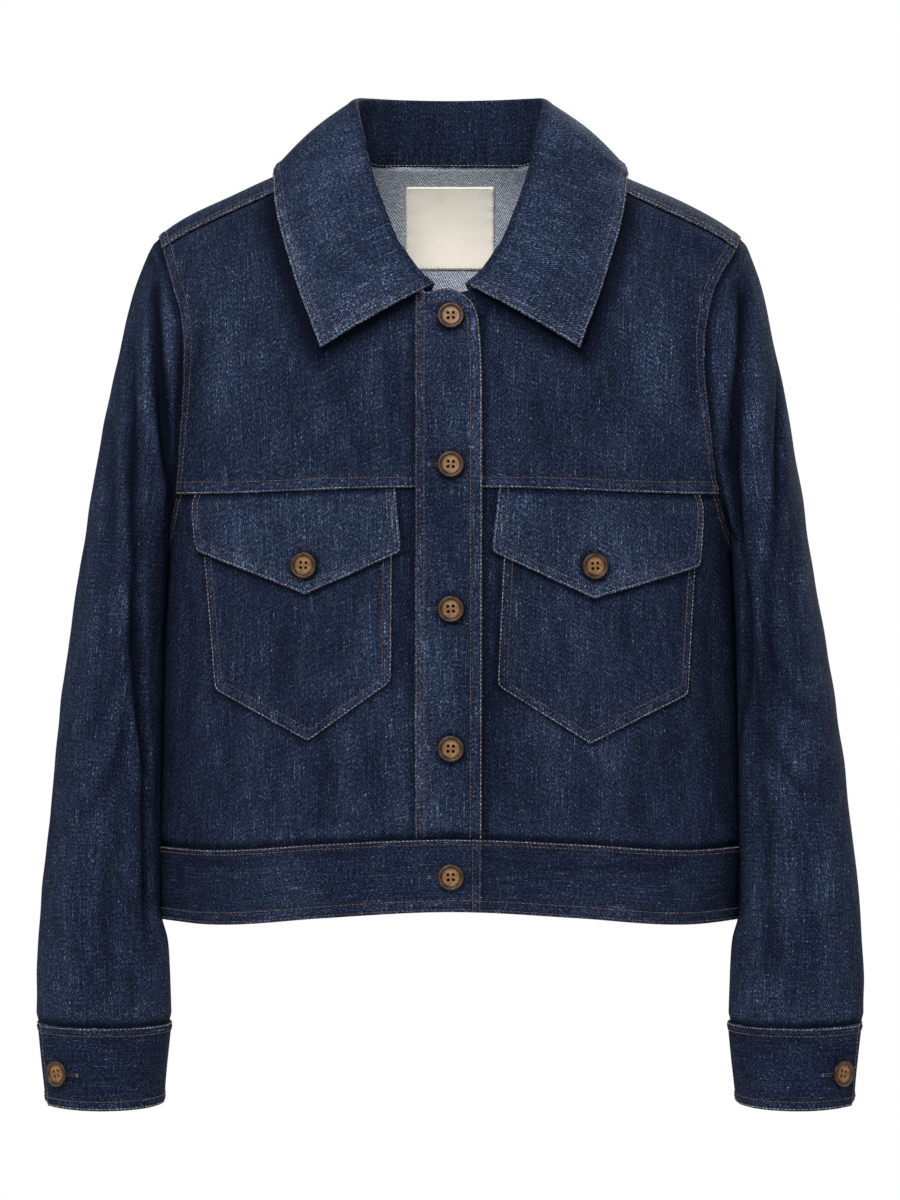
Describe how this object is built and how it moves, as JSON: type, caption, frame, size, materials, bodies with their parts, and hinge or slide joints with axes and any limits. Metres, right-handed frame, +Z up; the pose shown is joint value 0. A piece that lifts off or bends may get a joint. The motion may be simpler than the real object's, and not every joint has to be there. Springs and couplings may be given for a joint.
{
  "type": "cropped denim jacket",
  "caption": "Cropped denim jacket with a shirt collar, buttoned front placket, flap chest pockets, waistband and buttoned cuffs, filled out and hollow as worn.",
  "frame": {"origin": "centre of the neck opening, 13 mm below the inner ends of the shoulders, where the wearer's neck and shoulders hold the jacket up", "axes": "+Z up; the jacket faces -Y; +X to the wearer's left"},
  "size_m": [0.581, 0.2145, 0.7095],
  "materials": {
    "denim": "dark indigo twill, rinsed, matt, with rust-brown topstitching and paler worn edges",
    "label_cloth": "cream woven tape, matt",
    "horn": "bronze-brown horn look, satin gloss"
  },
  "bodies": {
    "root": {"back": "denim", "waistband": "denim", "placket": "denim", "collar": "denim", "label": "label_cloth", "yoke_right": "denim", "front_right": "denim", "pocket_right": "denim", "flap_right": "denim", "sleeve_right": "denim", "cuff_right": "denim", "button_flap_right": "horn", "button_cuff_right": "horn", "yoke_left": "denim", "front_left": "denim", "pocket_left": "denim", "flap_left": "denim", "sleeve_left": "denim", "cuff_left": "denim", "button_flap_left": "horn", "button_cuff_left": "horn", "button_front_1": "horn", "button_front_2": "horn", "button_front_3": "horn", "button_front_4": "horn", "button_front_5": "horn"}
  },
  "joints": []
}
